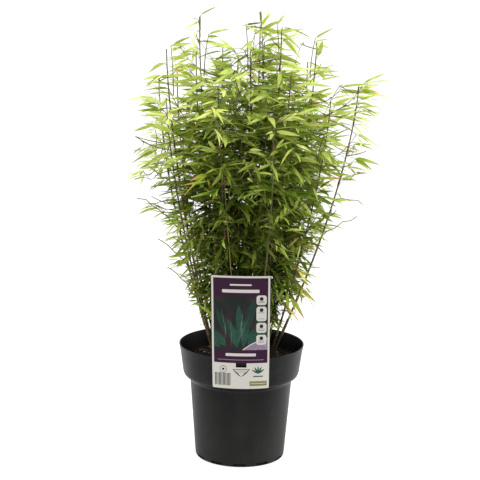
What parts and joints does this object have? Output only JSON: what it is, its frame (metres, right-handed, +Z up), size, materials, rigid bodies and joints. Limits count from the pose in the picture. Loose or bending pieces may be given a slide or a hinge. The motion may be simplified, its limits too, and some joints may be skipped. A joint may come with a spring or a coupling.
{
  "type": "potted bamboo",
  "caption": "Clump-forming bamboo with slender dark canes and masses of narrow leaves, growing in a round black nursery pot with a printed plant label hooked over its rim.",
  "frame": {"origin": "middle of the pot's flat underside", "axes": "+Z up the plant, +X across it to the viewer's right, -Y towards the side that carries the plant label"},
  "size_m": [0.409, 0.3662, 0.7158],
  "materials": {
    "pot": "black moulded polypropylene, satin, lightly scuffed",
    "mix": "dark moist peat and bark crumb, rough",
    "canes": "smooth dark purple-brown bamboo, satin",
    "foliage": "thin leaves, satin, yellow-green at the top and deeper green inside",
    "label": "printed plastic card, semi-gloss"
  },
  "bodies": {
    "root": {"pot": "pot", "potting_mix": "mix", "label": "label", "cane_01": "canes", "cane_02": "canes", "cane_03": "canes", "cane_04": "canes", "cane_05": "canes", "cane_06": "canes", "cane_07": "canes", "cane_08": "canes", "cane_09": "canes", "cane_10": "canes", "cane_11": "canes", "cane_12": "canes", "cane_13": "canes", "cane_14": "canes", "cane_15": "canes", "cane_16": "canes", "cane_17": "canes", "cane_18": "canes", "cane_19": "canes", "cane_20": "canes", "cane_21": "canes", "foliage_01": "foliage", "foliage_02": "foliage", "foliage_03": "foliage", "foliage_04": "foliage", "foliage_05": "foliage", "foliage_06": "foliage", "foliage_07": "foliage", "foliage_08": "foliage", "foliage_09": "foliage", "foliage_10": "foliage", "foliage_11": "foliage", "foliage_12": "foliage", "foliage_13": "foliage", "foliage_14": "foliage", "foliage_15": "foliage", "foliage_16": "foliage", "foliage_17": "foliage", "foliage_18": "foliage", "foliage_19": "foliage", "foliage_20": "foliage", "foliage_21": "foliage", "foliage_22": "foliage", "foliage_23": "foliage", "foliage_24": "foliage", "foliage_25": "foliage", "foliage_26": "foliage", "foliage_27": "foliage", "foliage_28": "foliage", "foliage_29": "foliage", "foliage_30": "foliage", "foliage_31": "foliage", "foliage_32": "foliage", "foliage_33": "foliage", "foliage_34": "foliage", "foliage_35": "foliage", "foliage_36": "foliage"}
  },
  "joints": []
}
